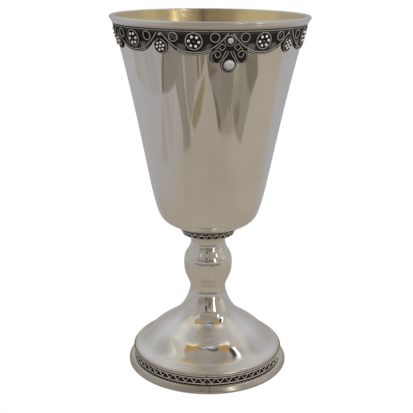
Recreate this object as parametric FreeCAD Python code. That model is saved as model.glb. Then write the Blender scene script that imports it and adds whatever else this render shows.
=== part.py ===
import FreeCAD, Part

import math
import os

# Footed silver goblet: a tall tapering bowl with a gilt inside, a filigree frieze under the lip,
# a round knop, and a trumpet foot on a ring. Millimetres, +Z up, origin at the centre of the base.
# The front of the goblet faces -Y. Azimuths are measured from the front towards +X.

V = FreeCAD.Vector
ORIGIN = V(0, 0, 0)
UP = V(0, 0, 1)

# ---------------------------------------------------------------- driving sizes
HEIGHT = 150.0

BOWL_WALL = 0.8
GILT = 0.12                      # thickness given to the gold wash
BOWL_EDGE_Z = 149.4              # top edge of the sheet, under the lip moulding
CONE_FOOT_Z = 130.0              # above this height the bowl is a plain cone
CONE_FOOT_R = 34.32
CONE_SLOPE = 0.232               # millimetres of radius for each millimetre of height
BOWL_FLOOR_Z = 61.8
BOWL_FLOOR_R = 10.0

LIP_R = 40.17
LIP_Z = 149.2                    # height of the lip's widest line
LIP_LOW_Z = 147.2

STRIP = 0.3                      # thickness of the dark sheets behind the wires
SOLDER = 0.02                    # film of solder between the sheet and its wires
WIRE = 0.5                       # width and height of the applied wires
FINE_WIRE = 0.42
THIN_WIRE = 0.36
WIRE_LOW = STRIP + SOLDER        # an applied wire lies from this height above the bowl's wall
WIRE_HIGH = WIRE_LOW + WIRE      # up to this one
SHEET_MARGIN = 0.35              # how far the sheet runs past its outermost wires
ARC_RADIUS = 37.0                # widths along the frieze are arc lengths at this radius
SCALLOPS = 9
FIRST_PENDANT_AZ = 11.0          # azimuth of the large pendant nearest the front

HUB_R = 8.4                      # plain top of the stem, inside the collar
SEAT_R = 11.0                    # flange of the stem that the openwork collar stands on
SEAT_Z = 59.1
SEAT_T = 0.25
COLLAR_LOW = (10.8, SEAT_Z)      # radius and height of the collar's two edges
COLLAR_HIGH = (11.9, 61.88)
COLLAR_SHEET = 0.5               # thickness of its sheet, measured level
COLLAR_TEETH = 24
COLLAR_PEAK_AZ = 1.7

STEM_WALL = 0.8
STEM_TOP_Z = BOWL_FLOOR_Z
JOINT_Z = 35.2                   # plane where the knop stands on the trumpet foot
JOINT_R = 7.65

FOOT_WALL = 0.8
PLATE = 1.0                      # thickness of the drilled plate on top of the foot
BAND_IN_R = 31.4                 # dark band of the foot gallery
BAND_OUT_R = 31.75
BAND_LOW_Z = 3.0
BAND_HIGH_Z = 7.45                # the foot stands on this edge
GALLERY_TEETH = 56
GALLERY_OUT_R = 32.45

ROD_R = 2.0
ROD_LOW_Z = 28.6
BOSS_R = 5.0
BOSS_LOW_Z = 57.0
ROD_HOLE_R = 2.2
WASHER_R = 5.6
WASHER_T = 1.0
NUT_FLATS = 7.0
NUT_H = 3.2

TAU = 2.0 * math.pi
CUTTER_NEAR = 28.0               # cutters for the frieze start this far in front of the axis
CUTTER_LENGTH = 16.0
BEZEL_FLOOR = 0.25
GRANULE_SUNK = 0.35              # part of a granule's radius that is fused away at its back


# ---------------------------------------------------------------- profile helpers
def at(point):
    """A (radius, height) pair as a point of the XZ plane."""
    return V(point[0], 0, point[1])


def line(a, b):
    return Part.LineSegment(at(a), at(b)).toShape()


def arc(a, middle, b):
    return Part.Arc(at(a), at(middle), at(b)).toShape()


def spline(points, start=None, end=None):
    """A smooth curve through (radius, height) pairs, with end directions if they are given."""
    curve = Part.BSplineCurve()
    if start is None:
        curve.interpolate([at(p) for p in points])
    else:
        curve.interpolate(Points=[at(p) for p in points], InitialTangent=at(start), FinalTangent=at(end))
    return curve


def inset(curve, depth):
    """The curve's own points moved inwards, square to the curve, for a profile drawn downwards."""
    moved = []
    for knot in curve.getKnots():
        point = curve.value(knot)
        along = curve.tangent(knot)[0]
        moved.append((point.x + along.z * depth, point.z - along.x * depth))
    return moved


def lathe(edges):
    """The solid swept by a closed profile once round the Z axis."""
    return Part.Face(Part.Wire(edges)).revolve(ORIGIN, UP, 360)


def tube(r_in, r_out, z_low, z_high):
    corners = [(r_in, z_low), (r_out, z_low), (r_out, z_high), (r_in, z_high)]
    return lathe([line(corners[i], corners[(i + 1) % 4]) for i in range(4)])


def bead_ring(radius, height, wire_radius):
    return Part.makeTorus(radius, wire_radius, V(0, 0, height), UP)


# ---------------------------------------------------------------- walls that carry applied work
def bowl_radius(z):
    return CONE_FOOT_R + (z - CONE_FOOT_Z) * CONE_SLOPE


def bowl_wall(s, z, lift):
    """Point above the bowl's cone, s millimetres round it from the front."""
    azimuth = s / ARC_RADIUS
    radius = bowl_radius(z) + lift
    return V(radius * math.sin(azimuth), -radius * math.cos(azimuth), z)


def collar_wall(s, along, lift):
    """Point above the collar's cone: s is an azimuth, along runs from 0 at its low edge to 1."""
    run, rise = COLLAR_HIGH[0] - COLLAR_LOW[0], COLLAR_HIGH[1] - COLLAR_LOW[1]
    slant = math.hypot(run, rise)
    radius = COLLAR_LOW[0] + run * along + lift * rise / slant
    height = COLLAR_LOW[1] + rise * along - lift * run / slant
    return V(radius * math.sin(s), -radius * math.cos(s), height)


def band_wall(s, z, lift):
    """Point above the dark band of the foot: s is an azimuth."""
    radius = BAND_OUT_R + lift
    return V(radius * math.sin(s), -radius * math.cos(s), z)


def turned(shape, azimuth):
    """A copy of a shape made at the front, turned to an azimuth in degrees."""
    copy = shape.copy()
    copy.rotate(ORIGIN, UP, azimuth)
    return copy


def sewn(faces):
    """The solid that a set of touching faces closes."""
    shell = Part.makeCompound(faces)
    shell.sewShape(1e-4)
    solid = Part.makeSolid(shell.Shells[0] if shell.Shells else shell)
    if solid.Volume < 0:
        solid.reverse()
    return solid


def straight(a, b):
    return Part.LineSegment(a, b).toShape()


# ---------------------------------------------------------------- applied wires
def smooth_wire(points, width, low, high, closed=False):
    """A wire bent along (s, z) points on the bowl, from low to high above its wall."""
    path = Part.BSplineCurve()
    flat = [V(s, z, 0) for s, z in points]
    path.interpolate(Points=flat, PeriodicFlag=closed)
    count = 4 * len(points)
    first, last = path.FirstParameter, path.LastParameter
    rails = [[], [], [], []]
    for i in range(count if closed else count + 1):
        parameter = first + (last - first) * i / count
        middle = path.value(parameter)
        along = path.tangent(parameter)[0]
        side = V(-along.y, along.x, 0) * (width / 2)
        for rail, sign, lift in zip(rails, (1, 1, -1, -1), (low, high, high, low)):
            edge_point = middle + side * sign
            rail.append(bowl_wall(edge_point.x, edge_point.y, lift))
    edges = []
    for rail in rails:
        curve = Part.BSplineCurve()
        curve.interpolate(Points=rail, PeriodicFlag=closed)
        edges.append(curve.toShape())
    faces = [Part.makeRuledSurface(edges[i], edges[(i + 1) % 4]) for i in range(4)]
    if not closed:
        for end in (0, -1):
            near = straight(rails[0][end], rails[1][end])
            far = straight(rails[3][end], rails[2][end])
            faces.append(Part.makeRuledSurface(near, far))
    return sewn(faces)


def mirrored(points):
    """An open line that starts on the axis s = 0, with its mirror image added in front."""
    return [(-s, z) for s, z in reversed(points[1:])] + list(points)


def ring_wire(z, radius, width, s=0.0):
    circle = [(s + radius * math.cos(TAU * i / 16), z + radius * math.sin(TAU * i / 16)) for i in range(16)]
    return smooth_wire(circle, width, WIRE_LOW, WIRE_HIGH, closed=True)


def zigzag(wall, teeth, peak, low, high, half, near, far):
    """One wire bent into teeth all the way round a wall, from near to far above it.
    half is its half width along the wall."""
    sections = []
    for i in range(2 * teeth):
        azimuth = peak + i * math.pi / teeth
        level = high if i % 2 == 0 else low
        corners = [(level - half, near), (level + half, near), (level + half, far), (level - half, far)]
        sections.append([wall(azimuth, z, lift) for z, lift in corners])
    faces = []
    for i in range(2 * teeth):
        here = sections[i]
        there = sections[(i + 1) % (2 * teeth)]
        for k in range(4):
            n = (k + 1) % 4
            faces.append(Part.makeRuledSurface(straight(here[k], there[k]), straight(here[n], there[n])))
    return sewn(faces)


# ---------------------------------------------------------------- small set pieces on the bowl
def seated(shape, s, z, lift):
    """A copy of a shape made about the origin with +Z outwards, set square on the bowl's wall."""
    tilt = math.degrees(math.atan(CONE_SLOPE))
    place = FreeCAD.Placement(V(0, 0, 0), FreeCAD.Rotation(V(1, 0, 0), 90 + tilt))
    copy = shape.copy()
    copy.Placement = place
    copy.translate(V(0, -(bowl_radius(z) + lift), z))
    return turned(copy, math.degrees(s / ARC_RADIUS))


def granule(radius):
    """A bead with a small flat where it is fused to the sheet."""
    left = 1.0 - GRANULE_SUNK
    return Part.makeSphere(radius, V(0, 0, radius * left), UP, -math.degrees(math.asin(left)), 90, 360)


def bezel(r_in, r_out, height):
    """A plain tube setting with a floor for the stone to stand on."""
    wall = Part.makeCylinder(r_out, height)
    return wall.cut(Part.makeCylinder(r_in, height, V(0, 0, BEZEL_FLOOR)))


def stone(radius, height):
    """A round stone: a flat table, a sloping crown, a thin girdle and a cut-off back."""
    slope = 0.45 * height
    edge = 0.1 * height
    back = Part.makeCone(0.55 * radius, radius, slope, V(0, 0, BEZEL_FLOOR))
    girdle = Part.makeCylinder(radius, edge, V(0, 0, BEZEL_FLOOR + slope))
    crown = Part.makeCone(radius, 0.6 * radius, slope, V(0, 0, BEZEL_FLOOR + slope + edge))
    return back.fuse([girdle, crown])


# ---------------------------------------------------------------- where the frieze's motifs stand
STEP_AZ = 360.0 / SCALLOPS
CUSPS = [FIRST_PENDANT_AZ + STEP_AZ * i for i in range(-4, 5)]
PENDANTS = [az for i, az in enumerate(CUSPS) if i % 3 == 1]
CUSP_DROPS = [az for i, az in enumerate(CUSPS) if i % 3 != 1]
ROSETTES = [az + STEP_AZ / 2 for az in CUSPS]

ROSETTE_Z = 143.0
ROSETTE_RING_R = 3.0
PETAL_R = 0.58                   # granules of a rosette, and the circle they stand on
PETAL_CIRCLE_R = 1.8
SPACER_Z = 144.4
SPACER_R = 1.6
SPACER_S = 7.5
STONE_HIGH_Z = 143.4
STONE_HIGH_R = 1.15
STONE_RING_R = 1.97
STONE_LOW_Z = 134.6
STONE_LOW_R = 1.95
LOZENGE = (2.8, 141.0)
CUSP_Z = 140.9
CUSP_BEAD_R = 0.52

SCALLOP_INNER = [(0, 139.0), (4.6, 139.7), (7.9, 141.5), (10.2, 143.6), (12.1, 146.0)]
SCALLOP_OUTER = [(0, 138.3), (3.6, 138.7), (6.4, 139.75)]
SCROLL = [
    (5.1, 138.9), (5.25, 138.0), (4.5, 137.25), (3.5, 137.7), (3.35, 138.9), (4.7, 139.6), (6.2, 138.8),
    (6.75, 137.3), (6.1, 135.7), (4.5, 135.0), (3.2, 135.9), (2.4, 137.4), (1.75, 138.7), (1.15, 139.7),
]
DROP = [(0, 131.8), (2.0, 132.65), (2.8, 134.6), (2.3, 136.1), (1.4, 137.5), (0.65, 138.7), (0.42, 139.7)]
TEARDROP = [(0, 138.25), (1.9, 139.1), (2.6, 140.9), (1.7, 142.6), (0.32, 143.5)]


def all_round(shape, azimuths):
    return Part.makeCompound([turned(shape, az) for az in azimuths])


# ---------------------------------------------------------------- bowl, lining and lip
def bowl_line(depth):
    """The bowl's profile from its top edge to the axis, depth millimetres inside its outer face."""
    lean = math.hypot(1.0, CONE_SLOPE)
    step_r = -depth / lean
    step_z = depth * CONE_SLOPE / lean
    edge = (bowl_radius(BOWL_EDGE_Z) + step_r, BOWL_EDGE_Z + step_z)
    knee = (CONE_FOOT_R + step_r, CONE_FOOT_Z + step_z)
    down = (-CONE_SLOPE, -1.0)
    outer = spline(
        [(CONE_FOOT_R, CONE_FOOT_Z), (28.94, 105), (24.45, 82), (21.5, 70), (19.9, 66.6),
         (17.0, 64.15), (13.2, 62.4), (BOWL_FLOOR_R, BOWL_FLOOR_Z)], down, (-1.0, 0.0))
    side = spline([knee] + inset(outer, depth)[1:], down, (-1.0, 0.0)).toShape() if depth else outer.toShape()
    floor_edge = (BOWL_FLOOR_R, BOWL_FLOOR_Z + depth)
    centre = (0, BOWL_FLOOR_Z + depth)
    return edge, [line(edge, knee), side, line(floor_edge, centre)], centre


def spun_cup(outer_depth, inner_depth):
    edge_out, outside, centre_out = bowl_line(outer_depth)
    edge_in, inside, centre_in = bowl_line(inner_depth)
    return lathe(outside + [line(centre_out, centre_in)] + inside[::-1] + [line(edge_in, edge_out)])


def bowl():
    return spun_cup(0, BOWL_WALL)


def gilt_lining():
    return spun_cup(BOWL_WALL, BOWL_WALL + GILT)


def rim_moulding():
    """Heavy lip soldered over the sheet's edge: widest near the top, tapering in below."""
    outer_edge = bowl_line(0)[0]
    inner_edge = bowl_line(BOWL_WALL + GILT)[0]
    low_in = (bowl_radius(LIP_LOW_Z), LIP_LOW_Z)
    low_out = (38.9, LIP_LOW_Z)
    low_round = (39.05, LIP_LOW_Z + 0.25)
    widest = (LIP_R, LIP_Z)
    top_out = (LIP_R - 0.75, HEIGHT)
    top_in = (inner_edge[0] + 0.35, HEIGHT)
    return lathe([
        line(low_in, low_out),
        arc(low_out, (39.01, LIP_LOW_Z + 0.1), low_round),
        line(low_round, widest),
        arc(widest, (LIP_R - 0.22, HEIGHT - 0.235), top_out),
        line(top_out, top_in),
        arc(top_in, (inner_edge[0] + 0.103, HEIGHT - 0.114), inner_edge),
        line(inner_edge, outer_edge),
        line(outer_edge, low_in),
    ])


# ---------------------------------------------------------------- frieze
def cone_ring(z_low, z_high, low, high):
    corners = [(bowl_radius(z) + lift, z) for z, lift in
               ((z_low, low), (z_low, high), (z_high, high), (z_high, low))]
    return lathe([line(corners[i], corners[(i + 1) % 4]) for i in range(4)])


def prism(edges):
    """A cutter pushed through the front of the bowl's wall from a closed outline in the XZ plane."""
    face = Part.Face(Part.Wire(edges))
    face.translate(V(0, -CUTTER_NEAR, 0))
    return face.extrude(V(0, -CUTTER_LENGTH, 0))


def disc_prism(s, z, radius):
    return Part.makeCylinder(radius, CUTTER_LENGTH, V(s, -CUTTER_NEAR, z), V(0, -1, 0))


def kite_prism(half_width, low_z, high_z):
    corners = [(0, low_z), (half_width, (low_z + high_z) / 2), (0.6 * half_width, high_z),
               (-0.6 * half_width, high_z), (-half_width, (low_z + high_z) / 2)]
    return prism([line(corners[i], corners[(i + 1) % 5]) for i in range(5)])


def frieze_strip():
    """The dark sheet behind the wires, cut to the scallops and the pendants."""
    top = LIP_LOW_Z + 1
    edge = [(0, 138.3), (6.4, 139.7), (9.2, 142.0), (13.3, 146.6)]
    lower = [(s, z - SHEET_MARGIN) for s, z in mirrored(edge)]
    scallop = prism([
        spline(lower).toShape(),
        line(lower[-1], (lower[-1][0], top)),
        line((lower[-1][0], top), (lower[0][0], top)),
        line((lower[0][0], top), lower[0]),
    ])
    cutters = [turned(scallop, az) for az in ROSETTES]
    for az in PENDANTS:
        for s, z, radius in ((4.6, 137.35, 2.6), (-4.6, 137.35, 2.6), (0, STONE_LOW_Z, 3.1)):
            cutters.append(turned(disc_prism(s, z, radius), az))
        cutters.append(turned(kite_prism(4.6, 135.6, 143.8), az))
    for az in CUSP_DROPS:
        cutters.append(turned(disc_prism(0, CUSP_Z, 2.95), az))
        cutters.append(turned(kite_prism(2.6, 140.4, 144.6), az))
    sheet = cone_ring(131.0, LIP_LOW_Z, 0, STRIP)
    patches = [sheet.common(cutter) for cutter in cutters]
    return patches[0].fuse(patches[1:]).removeSplitter()


def frieze_border_wire():
    return cone_ring(146.35, 146.85, STRIP, STRIP + 0.3)


def applied(points, width=WIRE):
    return smooth_wire(points, width, WIRE_LOW, WIRE_HIGH)


def scallop_inner_wires():
    return all_round(applied(mirrored(SCALLOP_INNER)), ROSETTES)


def scallop_outer_wires():
    return all_round(applied(mirrored(SCALLOP_OUTER)), ROSETTES)


def rosette_rings():
    return all_round(ring_wire(ROSETTE_Z, ROSETTE_RING_R, WIRE), ROSETTES)


def granule_circle(radius, z, ring_radius):
    bead = granule(radius)
    beads = []
    for i in range(6):
        angle = TAU * i / 6
        beads.append(seated(bead, ring_radius * math.cos(angle), z + ring_radius * math.sin(angle), STRIP))
    return beads


def rosette_granules():
    return all_round(Part.makeCompound(granule_circle(PETAL_R, ROSETTE_Z, PETAL_CIRCLE_R)), ROSETTES)


def rosette_centre_granules():
    return all_round(seated(granule(0.34), 0, ROSETTE_Z, STRIP), ROSETTES)


def spacer_rings():
    pair = [ring_wire(SPACER_Z, SPACER_R, FINE_WIRE, s) for s in (-SPACER_S, SPACER_S)]
    return all_round(Part.makeCompound(pair), ROSETTES)


def both_sides(points, width):
    left = applied([(-s, z) for s, z in points], width)
    return Part.makeCompound([left, applied(points, width)])


def pendant_scrolls():
    return all_round(both_sides(SCROLL, FINE_WIRE), PENDANTS)


def pendant_drop_wires():
    return all_round(applied(mirrored(DROP), FINE_WIRE), PENDANTS)


def pendant_lozenges():
    """Small rounded squares standing on a corner, one each side of the pendant."""
    reach = 1.15
    shapes = []
    for sign in (-1, 1):
        corners = []
        for i in range(16):
            angle = TAU * i / 16
            swell = reach * (0.91 + 0.09 * math.cos(4 * angle))
            corners.append((sign * LOZENGE[0] + swell * math.cos(angle), LOZENGE[1] + swell * math.sin(angle)))
        shapes.append(smooth_wire(corners, THIN_WIRE, WIRE_LOW, WIRE_HIGH, closed=True))
    return all_round(Part.makeCompound(shapes), PENDANTS)


def pendant_upper_rings():
    return all_round(ring_wire(STONE_HIGH_Z, STONE_RING_R, THIN_WIRE), PENDANTS)


def pendant_upper_bezels():
    return all_round(seated(bezel(STONE_HIGH_R, STONE_HIGH_R + 0.2, 0.8), 0, STONE_HIGH_Z, STRIP), PENDANTS)


def pendant_upper_stones():
    return all_round(seated(stone(STONE_HIGH_R, 1.0), 0, STONE_HIGH_Z, STRIP), PENDANTS)


def pendant_lower_bezels():
    return all_round(seated(bezel(STONE_LOW_R, STONE_LOW_R + 0.3, 1.0), 0, STONE_LOW_Z, STRIP), PENDANTS)


def pendant_lower_stones():
    return all_round(seated(stone(STONE_LOW_R, 1.4), 0, STONE_LOW_Z, STRIP), PENDANTS)


def cusp_teardrop_wires():
    return all_round(applied(mirrored(TEARDROP), FINE_WIRE), CUSP_DROPS)


def cusp_granules():
    beads = granule_circle(CUSP_BEAD_R, CUSP_Z, 1.4)
    beads.append(seated(granule(CUSP_BEAD_R), 0, CUSP_Z, STRIP))
    return all_round(Part.makeCompound(beads), CUSP_DROPS)


# ---------------------------------------------------------------- collar under the bowl
def collar_cone():
    corners = [COLLAR_LOW, COLLAR_HIGH, (COLLAR_HIGH[0] - COLLAR_SHEET, COLLAR_HIGH[1]),
               (COLLAR_LOW[0] - COLLAR_SHEET, COLLAR_LOW[1])]
    return lathe([line(corners[i], corners[(i + 1) % 4]) for i in range(4)])


def collar_zigzag():
    return zigzag(collar_wall, COLLAR_TEETH, math.radians(COLLAR_PEAK_AZ), 0.145, 0.80, 0.07, 0.04, 0.42)


def collar_upper_zigzag():
    peak = math.radians(COLLAR_PEAK_AZ + 90 / COLLAR_TEETH)
    return zigzag(collar_wall, 2 * COLLAR_TEETH, peak, 0.895, 0.918, 0.02, 0.02, 0.2)


def collar_edge_wire(along, wire_radius):
    centre = collar_wall(0, along, wire_radius)
    return bead_ring(-centre.y, centre.z, wire_radius)


def collar_top_wire():
    return collar_edge_wire(0.975, 0.1)


def collar_bottom_wire():
    return collar_edge_wire(0.045, 0.08)


# ---------------------------------------------------------------- knop and foot
def stem_knop():
    """Hollow spun stem: a hub and a seat under the collar, a round knop and a waist below it."""
    seat_edge = (SEAT_R, SEAT_Z - SEAT_T)
    outer = spline(
        [seat_edge, (8.5, 57.8), (7.45, 56.2), (7.37, 54.9), (8.3, 52.0), (9.68, 49.6), (10.32, 45.5),
         (9.62, 40.5), (8.08, 36.9), (JOINT_R, JOINT_Z)], (-1.0, -0.25), (-0.1, -1.0))
    neck_in = HUB_R - STEM_WALL
    inner_top = (neck_in, SEAT_Z - 0.4)
    inner_foot = (JOINT_R - STEM_WALL, JOINT_Z)
    inner = spline([inner_top] + inset(outer, STEM_WALL)[2:-1] + [inner_foot], (-0.5, -1.0), (-0.1, -1.0))
    plate_z = STEM_TOP_Z - STEM_WALL
    hole = BOSS_R + 0.05
    return lathe([
        line((hole, STEM_TOP_Z), (HUB_R, STEM_TOP_Z)),
        line((HUB_R, STEM_TOP_Z), (HUB_R, SEAT_Z)),
        line((HUB_R, SEAT_Z), (SEAT_R, SEAT_Z)),
        line((SEAT_R, SEAT_Z), seat_edge),
        outer.toShape(),
        line((JOINT_R, JOINT_Z), inner_foot),
        inner.toShape(),
        line(inner_top, (neck_in, plate_z)),
        line((neck_in, plate_z), (hole, plate_z)),
        line((hole, plate_z), (hole, STEM_TOP_Z)),
    ])


FOOT_EDGE = (32.0, BAND_HIGH_Z)


def foot():
    """Trumpet that spreads into a dome, closed on top by a drilled plate."""
    shoulder = (JOINT_R - 0.1, JOINT_Z)
    outer = spline(
        [shoulder, (7.85, 32.6), (9.4, 28.2), (11.75, 24.3), (16.2, 20.2), (21.65, 16.5), (26.2, 12.4),
         (29.7, 9.45), (31.25, 8.55), FOOT_EDGE], (0.02, -1.0), (0.0, -1.0))
    inner_points = inset(outer, FOOT_WALL)
    plate_low = JOINT_Z - PLATE
    inner_points[0] = (shoulder[0] - FOOT_WALL, plate_low)
    inner = spline(inner_points, (0.02, -1.0), (0.0, -1.0))
    return lathe([
        line((ROD_HOLE_R, JOINT_Z), shoulder),
        outer.toShape(),
        line(FOOT_EDGE, inner_points[-1]),
        inner.toShape(),
        line(inner_points[0], (ROD_HOLE_R, plate_low)),
        line((ROD_HOLE_R, plate_low), (ROD_HOLE_R, JOINT_Z)),
    ])


def gallery_band():
    return tube(BAND_IN_R, BAND_OUT_R, BAND_LOW_Z, BAND_HIGH_Z)


def gallery_zigzag():
    return zigzag(band_wall, GALLERY_TEETH, 0.0, 4.15, 6.2, 0.3, 0.06, GALLERY_OUT_R - BAND_OUT_R)


def gallery_top_wire():
    return bead_ring(GALLERY_OUT_R - 0.29, 7.05, 0.38)


def gallery_bottom_wire():
    return bead_ring(GALLERY_OUT_R - 0.33, 3.57, 0.25)


def base_ring():
    """Formed ring that the goblet stands on, flaring down to its widest just above the bottom."""
    thickness = 1.0
    top_in = (BAND_IN_R, BAND_LOW_Z)
    top_out = (33.1, BAND_LOW_Z)
    foot_out = (34.25, 0.0)
    foot_in = (foot_out[0] - thickness, 0.0)
    under_out = (top_out[0] - 0.4, BAND_LOW_Z - thickness)
    under_in = (BAND_IN_R, BAND_LOW_Z - thickness)
    return lathe([
        line(top_in, top_out),
        spline([top_out, (33.6, 2.74), (34.15, 2.0), (34.65, 1.05), (34.65, 0.55), foot_out]).toShape(),
        line(foot_out, foot_in),
        spline([foot_in, (33.6, 0.7), (33.25, 1.5), under_out]).toShape(),
        line(under_out, under_in),
        line(under_in, top_in),
    ])


# ---------------------------------------------------------------- what holds it together inside
def bowl_boss():
    """Threaded boss soldered under the bowl; it also centres the stem."""
    return tube(ROD_R, BOSS_R, BOSS_LOW_Z, BOWL_FLOOR_Z)


def tie_rod():
    height = BOWL_FLOOR_Z - 0.4 - ROD_LOW_Z
    chamfer = 0.4
    body = Part.makeCylinder(ROD_R, height - chamfer, V(0, 0, ROD_LOW_Z + chamfer))
    tip = Part.makeCone(ROD_R - chamfer, ROD_R, chamfer, V(0, 0, ROD_LOW_Z))
    return body.fuse(tip)


WASHER_HIGH_Z = JOINT_Z - PLATE


def foot_washer():
    return tube(ROD_HOLE_R, WASHER_R, WASHER_HIGH_Z - WASHER_T, WASHER_HIGH_Z)


def foot_nut():
    high_z = WASHER_HIGH_Z - WASHER_T
    corner_r = NUT_FLATS / 2 / math.cos(math.pi / 6)
    corners = []
    for i in range(7):
        angle = TAU * i / 6
        corners.append(V(corner_r * math.cos(angle), corner_r * math.sin(angle), high_z - NUT_H))
    hexagon = Part.Face(Part.makePolygon(corners)).extrude(V(0, 0, NUT_H))
    crown = Part.makeCone(NUT_FLATS / 2, corner_r, 0.5, V(0, 0, high_z - NUT_H))
    body = Part.makeCylinder(corner_r, NUT_H - 0.5, V(0, 0, high_z - NUT_H + 0.5))
    bore = Part.makeCylinder(ROD_R, NUT_H, V(0, 0, high_z - NUT_H))
    return hexagon.common(crown.fuse(body)).cut(bore)


NODES = [
    bowl, gilt_lining, rim_moulding,
    frieze_strip, frieze_border_wire, scallop_inner_wires, scallop_outer_wires,
    rosette_rings, rosette_granules, rosette_centre_granules, spacer_rings,
    pendant_scrolls, pendant_drop_wires, pendant_lozenges, pendant_upper_rings,
    pendant_upper_bezels, pendant_upper_stones, pendant_lower_bezels, pendant_lower_stones,
    cusp_teardrop_wires, cusp_granules,
    collar_cone, collar_zigzag, collar_upper_zigzag, collar_top_wire, collar_bottom_wire,
    stem_knop, foot, gallery_band, gallery_zigzag, gallery_top_wire, gallery_bottom_wire, base_ring,
    bowl_boss, tie_rod, foot_washer, foot_nut,
]

os.makedirs("parts", exist_ok=True)
total = 0.0
for make in NODES:
    shape = make()
    shape.exportStep("parts/" + make.__name__ + ".step")
    total += shape.Volume
    print(make.__name__, "solids", len(shape.Solids), "valid", shape.isValid(), "mm3", round(shape.Volume, 2))
print("total volume mm3", round(total, 1))
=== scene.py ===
import math

import bmesh
import bpy
import numpy as np
from mathutils import Matrix, Vector


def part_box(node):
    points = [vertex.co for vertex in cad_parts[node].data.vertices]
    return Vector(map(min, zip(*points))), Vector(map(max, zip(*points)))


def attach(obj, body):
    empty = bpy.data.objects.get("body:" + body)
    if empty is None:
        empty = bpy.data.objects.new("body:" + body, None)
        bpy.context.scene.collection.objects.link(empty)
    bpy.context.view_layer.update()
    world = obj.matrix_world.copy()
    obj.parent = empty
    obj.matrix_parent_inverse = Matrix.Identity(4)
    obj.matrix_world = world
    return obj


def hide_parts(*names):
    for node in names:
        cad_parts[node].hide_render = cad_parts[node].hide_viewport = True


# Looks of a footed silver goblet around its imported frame. Metres in Blender; the working numbers
# below are millimetres, as in the CAD model. The front faces -Y, and azimuths run from it to +X.

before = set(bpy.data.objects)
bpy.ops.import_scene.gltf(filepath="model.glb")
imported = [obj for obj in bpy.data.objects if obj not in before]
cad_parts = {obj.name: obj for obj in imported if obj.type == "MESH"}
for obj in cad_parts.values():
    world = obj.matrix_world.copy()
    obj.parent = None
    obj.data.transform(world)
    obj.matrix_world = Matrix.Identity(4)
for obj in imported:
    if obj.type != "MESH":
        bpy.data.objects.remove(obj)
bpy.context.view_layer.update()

MM = 0.001
TAU = 2.0 * math.pi


def span(node):
    """A node's lowest and highest corners in millimetres."""
    low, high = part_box(node)
    return Vector(low) / MM, Vector(high) / MM


# ---------------- sizes read from the frame
LIP_LOW_Z = span("rim_moulding")[0].z
LIP_R = span("rim_moulding")[1].x
HEIGHT = span("rim_moulding")[1].z
LIP_WIDE_Z = HEIGHT - 0.8
LIP_GROOVE_Z = LIP_WIDE_Z - 0.42
BOWL_FLOOR_Z = span("bowl")[0].z
BOWL_EDGE_Z = span("bowl")[1].z
BOWL_EDGE_R = span("bowl")[1].x
STEM_TOP_Z = span("stem_knop")[1].z
JOINT_Z = span("stem_knop")[0].z
BASE_R = span("base_ring")[1].x
BAND_LOW_Z = span("gallery_band")[0].z
BAND_HIGH_Z = span("gallery_band")[1].z
BAND_R = span("gallery_band")[1].x

# ---------------- sizes shared with the CAD model
CONE_SLOPE = 0.232
BOWL_WALL = 0.8
GILT = 0.12
STRIP = 0.3
SOLDER = 0.02
WIRE = 0.5
FINE_WIRE = 0.42
THIN_WIRE = 0.36
WIRE_LOW = STRIP + SOLDER
ARC_RADIUS = 37.0
SCALLOPS = 9
FIRST_PENDANT_AZ = 11.0

STEP_AZ = 360.0 / SCALLOPS
CUSPS = [FIRST_PENDANT_AZ + STEP_AZ * i for i in range(-4, 5)]
PENDANTS = CUSPS[1::3]
CUSP_DROPS = [az for az in CUSPS if az not in PENDANTS]
ROSETTES = [az + STEP_AZ / 2 for az in CUSPS]

ROSETTE_Z = 143.0
ROSETTE_RING_R = 3.0
SPACER_Z = 144.4
SPACER_R = 1.6
SPACER_S = 7.5
STONE_HIGH_Z = 143.4
STONE_HIGH_R = 1.15
STONE_RING_R = 1.97
STONE_LOW_Z = 134.6
STONE_LOW_R = 1.95
LOZENGE = (2.8, 141.0)
CUSP_Z = 140.9

SCALLOP_INNER = [(0, 139.0), (4.6, 139.7), (7.9, 141.5), (10.2, 143.6), (12.1, 146.0)]
SCALLOP_OUTER = [(0, 138.3), (3.6, 138.7), (6.4, 139.75)]
SCROLL = [
    (5.1, 138.9), (5.25, 138.0), (4.5, 137.25), (3.5, 137.7), (3.35, 138.9), (4.7, 139.6), (6.2, 138.8),
    (6.75, 137.3), (6.1, 135.7), (4.5, 135.0), (3.2, 135.9), (2.4, 137.4), (1.75, 138.7), (1.15, 139.7),
]
DROP = [(0, 131.8), (2.0, 132.65), (2.8, 134.6), (2.3, 136.1), (1.4, 137.5), (0.65, 138.7), (0.42, 139.7)]
TEARDROP = [(0, 138.25), (1.9, 139.1), (2.6, 140.9), (1.7, 142.6), (0.32, 143.5)]

PETAL_R = 0.58
HEART_R = 0.34
PETAL_CIRCLE_R = 1.8
CUSP_BEAD_R = 0.52
CUSP_CIRCLE_R = 1.4
SEAT_R = 11.0
HUB_R = 8.4
STEM_FOOT_R = 7.65
COLLAR_LOW = (10.8, span("collar_cone")[0].z)
COLLAR_HIGH = (span("collar_cone")[1].x, span("collar_cone")[1].z)
COLLAR_R = 10.0                  # radius that arc lengths on the collar are measured at
COLLAR_RUN = COLLAR_HIGH[0] - COLLAR_LOW[0]
COLLAR_RISE = COLLAR_HIGH[1] - COLLAR_LOW[1]
COLLAR_TEETH = 24
COLLAR_PEAK_AZ = 1.7
GALLERY_TEETH = 56
BASE_SEAM_AZ = 1.7
GILT_SEAM_AZ = -175.2

ROUND = 384                      # steps round the large turned shells
CIRCLE_STEPS = 48                # steps round a small ring
BEZEL_STEPS = 40
CREASE = 35.0                    # degrees between faces from which an edge is shaded sharp


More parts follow.
